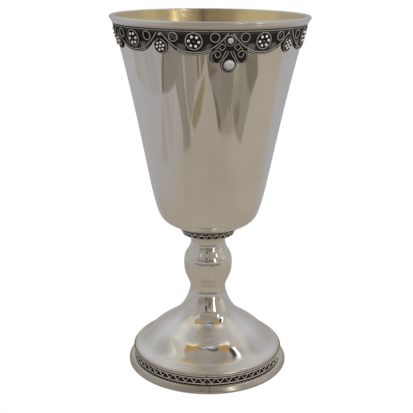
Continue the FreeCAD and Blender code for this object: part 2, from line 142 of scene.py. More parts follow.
# ---------------- curves
def cubic(points, per_span, start=None, end=None):
    """A smooth line through points, with end directions where they are given."""
    knots = np.array(points, float)
    gaps = np.linalg.norm(np.diff(knots, axis=0), axis=1)
    count = len(knots)
    system = np.zeros((count, count))
    right = np.zeros(knots.shape)
    for i in range(1, count - 1):
        before, after = gaps[i - 1], gaps[i]
        system[i, i - 1:i + 2] = after, 2 * (before + after), before
        pull = after * (knots[i] - knots[i - 1]) / before + before * (knots[i + 1] - knots[i]) / after
        right[i] = 3 * pull
    for row, inner, gap, given in ((0, 1, gaps[0], start), (-1, -2, gaps[-1], end)):
        if given is None:
            system[row, row], system[row, inner] = 2, 1
            ahead = knots[1] - knots[0] if row == 0 else knots[-1] - knots[-2]
            right[row] = 3 * ahead / gap
        else:
            system[row, row] = 1
            right[row] = np.array(given, float) / np.linalg.norm(given)
    slopes = np.linalg.solve(system, right)
    line = []
    for i in range(count - 1):
        t = np.linspace(0, 1, per_span, endpoint=False)[:, None]
        line.append((1 + 2 * t) * (1 - t) ** 2 * knots[i] + t * t * (3 - 2 * t) * knots[i + 1]
                    + gaps[i] * (t * (1 - t) ** 2 * slopes[i] + t * t * (t - 1) * slopes[i + 1]))
    return np.vstack(line + [knots[-1:]])


def bend(corner, start, end, steps=6):
    """Points that round a profile's corner, from one point to another."""
    a, b, c = (np.array(p, float) for p in (start, corner, end))
    t = np.linspace(0, 1, steps)[:, None]
    return ((1 - t) ** 2 * a + 2 * t * (1 - t) * b + t * t * c).tolist()


def even(path, step, closed=False):
    """The same line, with its points a constant step apart."""
    line = np.vstack([path, path[:1]]) if closed else np.array(path)
    lengths = np.concatenate([[0], np.cumsum(np.linalg.norm(np.diff(line, axis=0), axis=1))])
    count = max(4, int(round(lengths[-1] / step)))
    marks = np.linspace(0, lengths[-1], count if closed else count + 1, endpoint=not closed)
    return np.stack([np.interp(marks, lengths, line[:, k]) for k in range(line.shape[1])], axis=1)


def circle(s, z, radius):
    angles = np.arange(CIRCLE_STEPS) * TAU / CIRCLE_STEPS
    return np.stack([s + radius * np.cos(angles), z + radius * np.sin(angles)], axis=1)


def mirrored(points):
    """An open line that starts on the axis s = 0, with its mirror image added in front."""
    return [(-s, z) for s, z in reversed(points[1:])] + list(points)


# ---------------- walls that carry applied work
def bowl_radius(z):
    return BOWL_EDGE_R + (z - BOWL_EDGE_Z) * CONE_SLOPE


def bowl_wall(s, z, lift):
    radius = bowl_radius(z) + lift
    return np.stack([radius * np.sin(s / ARC_RADIUS), -radius * np.cos(s / ARC_RADIUS), z + 0 * s], axis=-1)


def collar_wall(s, along, lift):
    """s is an arc length at COLLAR_R, along is a height above the collar's low edge."""
    slant = math.hypot(COLLAR_RUN, COLLAR_RISE)
    radius = COLLAR_LOW[0] + COLLAR_RUN * along / COLLAR_RISE + lift * COLLAR_RISE / slant
    height = COLLAR_LOW[1] + along - lift * COLLAR_RUN / slant
    return np.stack([radius * np.sin(s / COLLAR_R), -radius * np.cos(s / COLLAR_R), height], axis=-1)


def band_wall(s, z, lift):
    radius = BAND_R + lift
    return np.stack([radius * np.sin(s / BAND_R), -radius * np.cos(s / BAND_R), z + 0 * s], axis=-1)


# ---------------- meshes
def add_object(name, data):
    made = bpy.data.objects.new(name, data)
    bpy.context.scene.collection.objects.link(made)
    return made


def mesh_of(name, points, faces, crease=CREASE):
    """A smooth-shaded mesh from millimetre points, sharp only where faces meet steeply."""
    mesh = bpy.data.meshes.new(name)
    mesh.from_pydata((np.asarray(points, float) * MM).tolist(), [], faces)
    work = bmesh.new()
    work.from_mesh(mesh)
    bmesh.ops.remove_doubles(work, verts=work.verts, dist=1e-7)
    bmesh.ops.recalc_face_normals(work, faces=work.faces)
    work.to_mesh(mesh)
    work.free()
    mesh.shade_smooth()
    mesh.set_sharp_from_angle(angle=math.radians(crease))
    return mesh


def grid_faces(rings, across, closed_rings=True):
    """Quads between neighbouring rings of points; each ring is closed on itself."""
    faces = []
    for i in range(rings if closed_rings else rings - 1):
        here = i * across
        there = (i + 1) % rings * across
        for k in range(across):
            n = (k + 1) % across
            faces.append((here + k, here + n, there + n, there + k))
    return faces


def turned_profile(profile, steps):
    """Points and faces of a closed (radius, height) outline turned round the Z axis."""
    outline = np.array(profile, float)
    angles = np.arange(steps) * TAU / steps
    points = np.stack([
        np.outer(np.sin(angles), outline[:, 0]),
        -np.outer(np.cos(angles), outline[:, 0]),
        np.outer(np.ones(steps), outline[:, 1]),
    ], axis=-1).reshape(-1, 3)
    return points, grid_faces(steps, len(outline))


def lathe(name, profile, steps=ROUND, crease=CREASE):
    points, faces = turned_profile(profile, steps)
    return mesh_of(name, points, faces, crease)


class Wires:
    """Many wires and beads gathered into one mesh."""

    def __init__(self):
        self.points = []
        self.faces = []

    def add(self, points, faces):
        first = sum(len(block) for block in self.points)
        self.points.append(np.asarray(points, float))
        self.faces += [tuple(first + i for i in face) for face in faces]

    def lay(self, path, width, wall, low=WIRE_LOW, high=WIRE_LOW + WIRE, turn=0.0,
            closed=False, strands=2, depth=0.16, pitch=1.0, sides=10, step=0.11):
        """Winds a twisted wire along (s, height) points on a wall, turned by an azimuth in degrees.
        low and high are its heights above the wall; an open wire has rounded ends."""
        line = even(np.array(path, float), step, closed)
        count = len(line)
        ahead = np.roll(line, -1, axis=0) - np.roll(line, 1, axis=0)
        if not closed:
            ahead[0], ahead[-1] = line[1] - line[0], line[-1] - line[-2]
        ahead /= np.linalg.norm(ahead, axis=1)[:, None]
        side = np.stack([-ahead[:, 1], ahead[:, 0]], axis=1)
        if closed:
            turns = max(1, round(count * step / pitch))
            spin = np.arange(count) * TAU * turns / count
            scale = np.ones(count)
        else:
            run = np.arange(count) * step
            spin = TAU * run / pitch
            reach = np.minimum(run, run[-1] - run) / (0.5 * width)
            scale = np.sqrt(np.clip(1 - (1 - np.clip(reach, 0, 1)) ** 2, 0.06, 1))
        rings = []
        middle, half_up = (low + high) / 2, (high - low) / 2
        for k in range(sides):
            angle = TAU * k / sides
            swell = scale * (1 - depth + depth * np.cos(strands * (angle - spin)))
            off = side * (0.5 * width * math.cos(angle) * swell)[:, None]
            lift = middle + half_up * math.sin(angle) * swell
            rings.append(wall(line[:, 0] + off[:, 0], line[:, 1] + off[:, 1], lift))
        points = turned(np.stack(rings, axis=1).reshape(-1, 3), turn)
        faces = grid_faces(count, sides, closed_rings=closed)
        if not closed:
            faces.append(tuple(range(sides))[::-1])
            faces.append(tuple((count - 1) * sides + k for k in range(sides)))
        self.add(points, faces)

    def seat(self, points, faces, s, z, lift, turn=0.0):
        """Sets a small shape made about the origin, +Z outwards, square on the bowl's wall."""
        lean = math.atan(CONE_SLOPE)
        place = (Matrix.Rotation(math.radians(turn) + s / ARC_RADIUS, 4, "Z")
                 @ Matrix.Translation((0, -(bowl_radius(z) + lift), z))
                 @ Matrix.Rotation(math.radians(90) + lean, 4, "X"))
        moved = [place @ Vector(p) for p in points]
        self.add([tuple(p) for p in moved], faces)

    def mesh(self, name, crease=CREASE):
        return mesh_of(name, np.vstack(self.points), self.faces, crease)


def turned(points, degrees):
    """Points turned about Z from the front towards +X."""
    a = math.radians(degrees)
    x = points[:, 0] * math.cos(a) - points[:, 1] * math.sin(a)
    y = points[:, 0] * math.sin(a) + points[:, 1] * math.cos(a)
    return np.stack([x, y, points[:, 2]], axis=1)


def from_bmesh(work):
    """Points and faces of a bmesh, which is freed."""
    work.verts.ensure_lookup_table()
    points = [tuple(v.co) for v in work.verts]
    faces = [tuple(v.index for v in f.verts) for f in work.faces]
    work.free()
    return points, faces


def granule(radius, seed):
    """A bead, not quite round, with its back fused flat."""
    work = bmesh.new()
    bmesh.ops.create_icosphere(work, subdivisions=3, radius=radius)
    rng = np.random.default_rng(seed)
    stretch = 1 + rng.uniform(-0.05, 0.05, 3)
    for v in work.verts:
        v.co.x *= stretch[0]
        v.co.y *= stretch[1]
        v.co.z = max(v.co.z * stretch[2], -0.65 * radius) + 0.65 * radius
    return from_bmesh(work)


def brilliant(radius, height):
    """A faceted round stone: table, crown, girdle and pavilion."""
    bed = 0.25
    girdle = bed + 0.5 * height
    rings = [
        (8, 0.0, 0.56, bed + height),
        (8, 0.5, 0.82, girdle + 0.34 * height),
        (16, 0.5, 1.0, girdle + 0.05 * height),
        (16, 0.5, 1.0, girdle - 0.05 * height),
        (8, 0.0, 0.55, bed + 0.12 * height),
    ]
    work = bmesh.new()
    for count, shift, reach, z in rings:
        for i in range(count):
            angle = TAU * (i + shift) / count
            out = radius * reach
            work.verts.new((out * math.cos(angle), out * math.sin(angle), z))
    bmesh.ops.convex_hull(work, input=work.verts)
    bmesh.ops.dissolve_limit(work, angle_limit=math.radians(1.5), verts=work.verts,
                             edges=work.edges)
    return from_bmesh(work)


# ---------------- shader helpers
class Nodes:
    """Short calls that add shader nodes to one tree."""

    def __init__(self, tree):
        self.tree = tree
        tree.nodes.clear()

    def node(self, kind, **settings):
        made = self.tree.nodes.new(kind)
        for key, value in settings.items():
            setattr(made, key, value)
        return made

    def link(self, source, target):
        self.tree.links.new(source, target)

    def put(self, socket, value):
        """Sets a socket to a number or colour, or links another socket to it."""
        if isinstance(value, bpy.types.NodeSocket):
            self.link(value, socket)
        elif isinstance(value, (tuple, list)) and len(value) == 3 and socket.type == "RGBA":
            socket.default_value = (*value, 1.0)
        else:
            socket.default_value = value

    def math(self, operation, *values):
        made = self.node("ShaderNodeMath", operation=operation)
        for socket, value in zip(made.inputs, values):
            self.put(socket, value)
        return made.outputs[0]

    def add(self, a, b):
        return self.math("ADD", a, b)

    def sub(self, a, b):
        return self.math("SUBTRACT", a, b)

    def mul(self, a, b):
        return self.math("MULTIPLY", a, b)

    def split(self, vector):
        made = self.node("ShaderNodeSeparateXYZ")
        self.link(vector, made.inputs[0])
        return made.outputs

    def place(self):
        return self.node("ShaderNodeTexCoord").outputs["Object"]

    def show(self, shader, kind="ShaderNodeOutputMaterial"):
        self.link(shader.outputs[0], self.node(kind).inputs["Surface"])

    def absolute(self, value):
        return self.math("ABSOLUTE", value)

    def ramp(self, value, low, high):
        """0 below low, 1 above high, smooth between; low may be the larger of the two."""
        made = self.node("ShaderNodeMapRange", interpolation_type="SMOOTHSTEP")
        self.put(made.inputs["Value"], value)
        self.put(made.inputs["From Min"], low)
        self.put(made.inputs["From Max"], high)
        return made.outputs[0]

    def blend(self, share, a, b):
        made = self.node("ShaderNodeMix", data_type="RGBA")
        self.put(made.inputs[0], share)
        self.put(made.inputs[6], a)
        self.put(made.inputs[7], b)
        return made.outputs[2]

    def noise(self, vector, scale, detail=2.0, rough=0.5):
        made = self.node("ShaderNodeTexNoise")
        self.put(made.inputs["Vector"], vector)
        made.inputs["Scale"].default_value = scale
        made.inputs["Detail"].default_value = detail
        made.inputs["Roughness"].default_value = rough
        return made.outputs[0]

    def vector(self, *parts):
        made = self.node("ShaderNodeCombineXYZ")
        for socket, value in zip(made.inputs, parts):
            self.put(socket, value)
        return made.outputs[0]

    def stretched(self, vector, factors):
        made = self.node("ShaderNodeVectorMath", operation="MULTIPLY")
        self.put(made.inputs[0], vector)
        made.inputs[1].default_value = factors
        return made.outputs[0]

    def bump(self, height, strength, distance, normal=None):
        made = self.node("ShaderNodeBump")
        made.inputs["Strength"].default_value = strength
        made.inputs["Distance"].default_value = distance
        self.put(made.inputs["Height"], height)
        if normal is not None:
            self.put(made.inputs["Normal"], normal)
        return made.outputs[0]


def material(name):
    made = bpy.data.materials.new(name)
    made.use_nodes = True
    n = Nodes(made.node_tree)
    shader = n.node("ShaderNodeBsdfPrincipled")
    n.show(shader)
    return made, n, shader, n.place()


def surface(n, shader, colour, metallic, roughness, normal):
    """Fills a shader's main inputs with numbers, colours or other nodes' results."""
    for name, value in (("Base Color", colour), ("Metallic", metallic), ("Roughness", roughness),
                        ("Normal", normal)):
        n.put(shader.inputs[name], value)


def cylinder_parts(n, place):
    """Radius, angle and height of a point, in metres and radians."""
    x, y, z = n.split(place)
    radius = n.math("SQRT", n.add(n.mul(x, x), n.mul(y, y)))
    angle = n.math("ARCTAN2", x, n.mul(y, -1.0))
    return radius, angle, z


# ---------------- materials
SILVER = (0.955, 0.935, 0.895)
DARK = (0.012, 0.0115, 0.010)
POLISHING_LINES = 2600.0         # per metre


def turned_lines(n, place, lines_per_metre, wander=0.06):
    """Fine grooves that run round the axis, as spinning and polishing leave them."""
    radius, angle, z = cylinder_parts(n, place)
    grid = n.vector(n.mul(angle, wander), n.mul(z, lines_per_metre), n.mul(radius, lines_per_metre))
    return n.noise(grid, 1.0, 3.0, 0.6)


def seam_mask(n, angle, az):
    """1 on an upright seam at an azimuth in degrees, 0 beside it."""
    return n.ramp(n.absolute(n.sub(angle, math.radians(az))), 0.0075, 0.003)


def polished(name, rough_low, rough_high, satin=None, dull=None):
    """Mirror-bright silver. satin gives two heights and the roughness added by the second, dull
    the two heights a softer belt lies between and the roughness added there."""
    made, n, shader, place = material(name)
    radius, angle, z = cylinder_parts(n, place)
    smudge = n.noise(place, 38.0, 3.0)
    tint = tuple(0.93 * c for c in SILVER)
    colour = n.blend(n.ramp(smudge, 0.35, 0.75), SILVER, tint)
    rough = n.add(n.mul(smudge, rough_high - rough_low), rough_low)
    if satin:
        start, full, amount = satin
        rough = n.add(rough, n.mul(n.ramp(z, start * MM, full * MM), amount))
    if dull:
        low, high, amount = dull
        fade = 1.5
        belt = n.mul(n.ramp(z, low * MM, (low + fade) * MM), n.ramp(z, high * MM, (high - fade) * MM))
        rough = n.add(rough, n.mul(belt, amount))
    wave = n.noise(n.stretched(place, (1.0, 1.0, 0.45)), 60.0, 1.0)
    rolling = n.bump(wave, 1.0, 0.010 * MM)
    lines = turned_lines(n, place, POLISHING_LINES)
    surface(n, shader, colour, 1.0, rough, n.bump(lines, 1.0, 0.0006 * MM, rolling))
    return made


def lip_material():
    """Polished moulding, with painted shade low down at the front and along the groove near its top."""
    made, n, shader, place = material("moulding_silver")
    radius, angle, z = cylinder_parts(n, place)
    cloud = n.noise(place, 38.0, 3.0)
    aside = n.absolute(n.sub(angle, 0.02))
    # painted shade: the moulding darkens low down, only round the front
    low = n.mul(n.ramp(z, (HEIGHT - 1.1) * MM, (HEIGHT - 2.6) * MM), n.ramp(aside, 1.25, 0.55))
    from_groove = n.absolute(n.sub(z, LIP_GROOVE_Z * MM))
    near_front = n.mul(n.ramp(aside, 0.62, 0.35), 0.5)
    # painted shade along the groove, only round the front
    groove = n.mul(n.ramp(from_groove, 0.16 * MM, 0.07 * MM), near_front)
    tone = n.blend(low, n.blend(cloud, SILVER, (0.88, 0.855, 0.83)), (0.61, 0.575, 0.555))
    colour = n.blend(groove, tone, (0.30, 0.25, 0.24))
    lines = turned_lines(n, place, POLISHING_LINES)
    surface(n, shader, colour, 1.0, n.add(n.mul(cloud, 0.10), 0.10), n.bump(lines, 1.0, 0.003 * MM))
    return made


def flange_material():
    """Formed silver brushed upright, a little tarnished, with its solder seam near the front."""
    made, n, shader, place = material("flange_silver")
    radius, angle, z = cylinder_parts(n, place)
    brushed = n.noise(n.vector(n.mul(angle, 90.0), n.mul(z, 120.0)), 1.0, 4.0, 0.7)
    cloud = n.noise(place, 90.0, 3.0)
    patchy = n.ramp(n.mul(n.add(brushed, cloud), 0.5), 0.38, 0.62)
    tone = n.blend(patchy, (0.62, 0.585, 0.53), (0.76, 0.72, 0.655))
    seam = n.mul(seam_mask(n, angle, BASE_SEAM_AZ), 0.7)
    colour = n.blend(seam, tone, (0.14, 0.12, 0.10))
    surface(n, shader, colour, 1.0, n.add(n.mul(brushed, 0.10), 0.17), n.bump(brushed, 0.4, 0.003 * MM))
    return made


def gilt_material():
    """Gold wash over turned silver, with the sheet's seam at the back."""
    made, n, shader, place = material("gilt")
    lines = turned_lines(n, place, 1900.0, 0.2)
    cloud = n.noise(place, 55.0, 3.0)
    radius, angle, z = cylinder_parts(n, place)
    seam = n.mul(seam_mask(n, angle, GILT_SEAM_AZ), 0.55)
    tone = n.blend(n.ramp(cloud, 0.3, 0.7), (0.91, 0.77, 0.48), (0.86, 0.70, 0.41))
    colour = n.blend(seam, tone, (0.30, 0.22, 0.10))
    surface(n, shader, colour, 1.0, n.add(n.mul(lines, 0.10), 0.13), n.bump(lines, 1.0, 0.02 * MM))
    shader.inputs["Anisotropic"].default_value = 0.4
    return made


BOWL_CONE = (BOWL_EDGE_R, BOWL_EDGE_Z, CONE_SLOPE)
COLLAR_CONE = (COLLAR_LOW[0], COLLAR_LOW[1], COLLAR_RUN / COLLAR_RISE)
BAND_CYLINDER = (BAND_R, 0.0, 0.0)


def lift_above(n, place, wall):
    """Level distance of a point outside a wall, given as (radius, height, slope), in metres."""
    radius, angle, z = cylinder_parts(n, place)
    wall_radius = n.add(n.mul(n.sub(z, wall[1] * MM), wall[2]), wall[0] * MM)
    return n.sub(radius, wall_radius), angle, z


def patina_material(name, worn=True):
    """Sulphur-black silver; the worn kind is rubbed bright in patches on the bowl's frieze."""
    made, n, shader, place = material(name)
    grain = n.noise(place, 900.0, 4.0, 0.65)
    cloud = n.noise(place, 210.0, 3.0, 0.6)
    rub = n.ramp(cloud, 0.56, 0.72)
    if worn:
        lift, angle, z = lift_above(n, place, BOWL_CONE)
        turn = n.math("FRACT", n.add(n.mul(angle, SCALLOPS / TAU), 0.5 - FIRST_PENDANT_AZ / STEP_AZ))
        from_cusp = n.mul(n.absolute(n.sub(turn, 0.5)), TAU / SCALLOPS * ARC_RADIUS)
        near_patch = n.mul(n.ramp(from_cusp, 6.2, 7.4), n.ramp(from_cusp, 10.2, 8.8))
        low_patch = n.mul(n.ramp(z, 142.5 * MM, 141.2 * MM), n.ramp(z, 138.5 * MM, 139.5 * MM))
        patch = n.mul(n.mul(near_patch, low_patch), n.ramp(cloud, 0.34, 0.5))
        top_band = n.mul(n.ramp(z, 145.2 * MM, 145.8 * MM), 0.12)
        rub = n.math("MAXIMUM", n.mul(rub, 0.35), n.math("MAXIMUM", n.mul(patch, 0.8), top_band))
    else:
        rub = n.mul(rub, 0.08)
    colour = n.blend(rub, DARK, (0.25, 0.24, 0.225))
    metallic, rough = n.add(n.mul(rub, 0.55), 0.30), n.sub(0.55, n.mul(rub, 0.25))
    surface(n, shader, colour, metallic, rough, n.bump(grain, 0.6, 0.05 * MM))
    shader.inputs["Specular IOR Level"].default_value = 0.25
    return made


def wire_material(name, low, high, wall=BOWL_CONE, bright=SILVER, rough=0.22, metal=0.7):
    """Silver wire, black up to low above its wall and bright from high, in millimetres: oxide in the
    hollows with painted shade on the wire's sides, and burnish with a painted highlight on its top.
    """
    made, n, shader, place = material(name)
    lift, angle, z = lift_above(n, place, wall)
    grime = n.noise(place, 700.0, 3.0, 0.6)
    # painted shade on the wire's sides and a painted highlight on its top, over real oxide low down and
    # real burnish high up
    burnish_and_painted_highlight = n.ramp(n.add(lift, n.mul(n.sub(grime, 0.5), 0.22 * MM)), low * MM, high * MM)
    colour = n.blend(burnish_and_painted_highlight, (0.016, 0.015, 0.013), bright)
    metallic = n.add(n.mul(burnish_and_painted_highlight, metal - 0.4), 0.4)
    roughness = n.sub(rough + 0.2, n.mul(burnish_and_painted_highlight, 0.2))
    surface(n, shader, colour, metallic, roughness, n.bump(grime, 0.35, 0.04 * MM))
    return made


def stone_material():
    made, n, shader, place = material("clear_stone")
    cloud = n.noise(place, 1500.0, 2.0)
    n.put(shader.inputs["Base Color"], n.blend(cloud, (0.36, 0.35, 0.33), (0.52, 0.51, 0.49)))
    n.put(shader.inputs["Roughness"], n.mul(cloud, 0.05))
    shader.inputs["IOR"].default_value = 1.8
    shader.inputs["Transmission Weight"].default_value = 0.35
    return made


def brass_material():
    made, n, shader, place = material("fastener_brass")
    lines = turned_lines(n, place, 1500.0)
    cloud = n.noise(place, 160.0, 3.0)
    colour = n.blend(cloud, (0.60, 0.44, 0.20), (0.72, 0.56, 0.28))
    surface(n, shader, colour, 1.0, n.add(n.mul(cloud, 0.15), 0.25), n.bump(lines, 0.6, 0.04 * MM))
    return made


CUP = polished("cup_silver", 0.03, 0.06, satin=(115.0, 64.0, 0.14))
MIRROR = polished("polished_silver", 0.03, 0.07)
MOULDING = lip_material()
FOOT = polished("foot_silver", 0.035, 0.075, satin=(12.8, 10.0, 0.20), dull=(15.5, 22.5, 0.13))
FLANGE = flange_material()
GOLD = gilt_material()
PATINA = patina_material("oxidised_silver")
PLAIN_PATINA = patina_material("oxidised_silver_plain", worn=False)
FILIGREE = wire_material("filigree_silver", 0.56, 0.82, bright=(0.55, 0.53, 0.495), metal=0.75)
BEADS = wire_material("granulation_silver", 0.62, 1.05, bright=(0.86, 0.84, 0.80), rough=0.18,
                      metal=0.65)
BEZELS = wire_material("bezel_silver", 1.15, 1.6, bright=(0.5, 0.48, 0.45), rough=0.3)
STONE = stone_material()
BRASS = brass_material()


# ---------------- pieces
def piece(name, mesh, look, slot, *nodes):
    """One visible piece that stands for some CAD nodes."""
    made = add_object(name, mesh)
    mesh.materials.append(look)
    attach(made, "root")
    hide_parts(*nodes)
    return made


def filigree(name, wires, node, look=FILIGREE):
    piece(name, wires.mesh(name), look, "filigree_silver", node)


def granules(name, wires, node):
    piece(name, wires.mesh(name), BEADS, "granulation_silver", node)


def inset(line, depth):
    """A profile moved square to itself, towards the axis side of a line that runs downwards."""
    ahead = np.gradient(line, axis=0)
    ahead /= np.linalg.norm(ahead, axis=1)[:, None]
    return line + depth * np.stack([ahead[:, 1], -ahead[:, 0]], axis=1)


def cup_line(depth):
    """The bowl's profile from its top edge to the axis, depth inside its outer face."""
    knee_z = 130.0
    knee = (bowl_radius(knee_z), knee_z)
    down = (-CONE_SLOPE, -1.0)
    curve = cubic([knee, (28.94, 105), (24.45, 82), (21.5, 70), (19.9, 66.6), (17.0, 64.15),
                   (13.2, 62.4), (10.0, BOWL_FLOOR_Z)], 14, down, (-1.0, 0.0))
    rise = np.linspace(BOWL_EDGE_Z, knee_z, 14, endpoint=False)
    wall = np.stack([bowl_radius(rise), rise], axis=1)
    line = inset(np.vstack([wall, curve]), depth)
    line[0, 1] = BOWL_EDGE_Z
    line[0, 0] = bowl_radius(BOWL_EDGE_Z) - depth * math.hypot(1, CONE_SLOPE)
    floor = np.array([[r, BOWL_FLOOR_Z + depth] for r in (7.0, 4.0, 2.0, 0.0)])
    return np.vstack([line, floor])


def bowl_pieces():
    outer, middle, inner = cup_line(0.0), cup_line(BOWL_WALL), cup_line(BOWL_WALL + GILT)
    shell = lathe("bowl_shell", np.vstack([outer, middle[::-1]]))
    piece("bowl_shell", shell, CUP, "polished_silver", "bowl")
    wash = lathe("gilt_wash", np.vstack([middle, inner[::-1]]))
    piece("gilt_wash", wash, GOLD, "gilt", "gilt_lining")


def lip_piece():
    """A sloping face with a rounded foot, a fine groove and an edge rounded over the bowl's."""
    edge = bowl_radius(BOWL_EDGE_Z)
    edge_in = (edge - (BOWL_WALL + GILT) * math.hypot(1, CONE_SLOPE), BOWL_EDGE_Z)
    low_r = 38.9
    wide_z, groove_z = LIP_WIDE_Z, LIP_GROOVE_Z
    slope = (LIP_R - low_r - 0.15) / (wide_z - LIP_LOW_Z - 0.25)

    def on_face(z, depth=0.0):
        return (LIP_R - (wide_z - z) * slope - depth, z)

    foot = (on_face(LIP_LOW_Z)[0] + 0.12, LIP_LOW_Z)
    profile = [(bowl_radius(LIP_LOW_Z), LIP_LOW_Z)]
    profile += bend(foot, (low_r, LIP_LOW_Z), on_face(LIP_LOW_Z + 0.35))
    profile += [on_face(groove_z - 0.12), (on_face(groove_z - 0.05)[0] - 0.07, groove_z - 0.04),
                on_face(groove_z + 0.04, 0.07), on_face(groove_z + 0.14)]
    profile += bend((LIP_R, wide_z + 0.05), on_face(wide_z - 0.12), (LIP_R - 0.07, wide_z + 0.22), 5)
    profile += bend((LIP_R - 0.35, HEIGHT), (LIP_R - 0.2, HEIGHT - 0.28), (LIP_R - 0.8, HEIGHT))
    profile += [(LIP_R - 1.4, HEIGHT)]
    profile += bend((edge_in[0] + 0.05, HEIGHT), (edge_in[0] + 0.5, HEIGHT), edge_in, 7)
    profile += [(edge, BOWL_EDGE_Z)]
    lip = lathe("lip_moulding", profile, crease=28.0)
    piece("lip_moulding", lip, MOULDING, "moulding_silver", "rim_moulding")


def scallop_wires():
    inner, outer, rings, spacers, beads, hearts = (Wires() for _ in range(6))
    for number, az in enumerate(ROSETTES):
        inner.lay(cubic(mirrored(SCALLOP_INNER), 24), WIRE, bowl_wall, turn=az)
        outer.lay(cubic(mirrored(SCALLOP_OUTER), 24), WIRE, bowl_wall, turn=az)
        rings.lay(circle(0, ROSETTE_Z, ROSETTE_RING_R), WIRE, bowl_wall, turn=az, closed=True)
        for s in (-SPACER_S, SPACER_S):
            spacer = circle(s, SPACER_Z, SPACER_R)
            spacers.lay(spacer, FINE_WIRE, bowl_wall, turn=az, closed=True, depth=0.08)
        for i in range(6):
            angle = TAU * (i + 0.12 * math.sin(3.7 * number)) / 6
            s, z = PETAL_CIRCLE_R * math.cos(angle), ROSETTE_Z + PETAL_CIRCLE_R * math.sin(angle)
            beads.seat(*granule(PETAL_R, 10 * number + i), s, z, STRIP, az)
        hearts.seat(*granule(HEART_R, 400 + number), 0, ROSETTE_Z, STRIP, az)
    filigree("scallop_wires_inner", inner, "scallop_inner_wires")
    filigree("scallop_wires_outer", outer, "scallop_outer_wires")
    filigree("rosette_twist_rings", rings, "rosette_rings")
    filigree("spacer_wire_rings", spacers, "spacer_rings")
    granules("rosette_beads", beads, "rosette_granules")
    granules("rosette_heart_beads", hearts, "rosette_centre_granules")


def bezel_shape(r_in, wall, height):
    """A tube setting with its lip rubbed over the stone."""
    return turned_profile([
        (r_in * 0.2, 0.0), (r_in + wall, 0.0), (r_in + wall, height * 0.7),
        (r_in + wall * 0.8, height * 0.9), (r_in + wall * 0.35, height),
        (r_in - wall * 0.7, height * 0.98), (r_in - wall * 0.6, height * 0.86),
        (r_in, height * 0.8), (r_in, 0.25), (r_in * 0.2, 0.25)], BEZEL_STEPS)


def pendant_pieces():
    scrolls, drops, lozenges, rings = (Wires() for _ in range(4))
    high_bezels, high_stones, low_bezels, low_stones = (Wires() for _ in range(4))
    angles = np.arange(CIRCLE_STEPS) * TAU / CIRCLE_STEPS
    swell = 1.15 * (0.91 + 0.09 * np.cos(4 * angles))
    for az in PENDANTS:
        for sign in (-1, 1):
            scroll = cubic([(sign * s, z) for s, z in SCROLL], 12)
            scrolls.lay(scroll, FINE_WIRE, bowl_wall, turn=az)
            across, up = sign * LOZENGE[0] + swell * np.cos(angles), LOZENGE[1] + swell * np.sin(angles)
            lozenges.lay(np.stack([across, up], axis=1), THIN_WIRE, bowl_wall, turn=az, closed=True,
                         depth=0.08)
        drops.lay(cubic(mirrored(DROP), 14), FINE_WIRE, bowl_wall, turn=az)
        ring = circle(0, STONE_HIGH_Z, STONE_RING_R)
        rings.lay(ring, THIN_WIRE, bowl_wall, turn=az, closed=True)
        high_bezels.seat(*bezel_shape(STONE_HIGH_R, 0.2, 0.8), 0, STONE_HIGH_Z, STRIP, az)
        high_stones.seat(*brilliant(STONE_HIGH_R, 1.0), 0, STONE_HIGH_Z, STRIP, az)
        low_bezels.seat(*bezel_shape(STONE_LOW_R, 0.3, 1.0), 0, STONE_LOW_Z, STRIP, az)
        low_stones.seat(*brilliant(STONE_LOW_R, 1.4), 0, STONE_LOW_Z, STRIP, az)
    filigree("pendant_scroll_wires", scrolls, "pendant_scrolls")
    filigree("pendant_drops", drops, "pendant_drop_wires")
    filigree("pendant_lozenge_wires", lozenges, "pendant_lozenges")
    filigree("upper_stone_rings", rings, "pendant_upper_rings")
    for level, bezels, stones in (("upper", high_bezels, high_stones), ("lower", low_bezels, low_stones)):
        name = level + "_bezels"
        piece(name, bezels.mesh(name), BEZELS, "bezel_silver", "pendant_" + name)
        name = level + "_stones"
        piece(name, stones.mesh(name, 3.0), STONE, "clear_stone", "pendant_" + name)


def cusp_pieces():
    wires, beads = Wires(), Wires()
    for number, az in enumerate(CUSP_DROPS):
        wires.lay(cubic(mirrored(TEARDROP), 18), FINE_WIRE, bowl_wall, turn=az)
        for i in range(6):
            angle = TAU * (i + 0.1 * number) / 6
            s, z = CUSP_CIRCLE_R * math.cos(angle), CUSP_Z + CUSP_CIRCLE_R * math.sin(angle)
            beads.seat(*granule(CUSP_BEAD_R, 600 + 10 * number + i), s, z, STRIP, az)
        beads.seat(*granule(CUSP_BEAD_R, 690 + number), 0, CUSP_Z, STRIP, az)
    filigree("cusp_teardrops", wires, "cusp_teardrop_wires")
    granules("cusp_beads", beads, "cusp_granules")


def level_ring(radius, height, steps):
    """(s, height) points of a ring that runs level round a wall."""
    return np.stack([np.arange(steps) * TAU * radius / steps, np.full(steps, height)], axis=1)


def border_piece():
    border = Wires()
    border.lay(level_ring(ARC_RADIUS, 146.6, 720), 0.36, bowl_wall, low=STRIP, high=STRIP + 0.3,
               closed=True, depth=0.0, step=0.2)
    # painted shadow of the lip: the border wire is kept dim and brown, bright only at its very top
    dull = wire_material("border_silver_painted_shadow", 0.36, 0.62, bright=(0.42, 0.39, 0.34), rough=0.3)
    filigree("border_wire", border, "frieze_border_wire", dull)


bowl_pieces()
lip_piece()
scallop_wires()
pendant_pieces()
cusp_pieces()
border_piece()


# ---------------- collar under the bowl
def rounded_teeth(teeth, radius, low, high, peak_degrees, sharpness=0.94, steps=24):
    """(s, height) points of a wire bent into slightly rounded teeth all the way round."""
    s = np.arange(teeth * steps) * TAU * radius / (teeth * steps)
    phase = s / radius * teeth - math.radians(peak_degrees) * teeth
    wave = np.arcsin(sharpness * np.cos(phase)) / math.asin(sharpness)
    return np.stack([s, (low + high) / 2 + (high - low) / 2 * wave], axis=1)


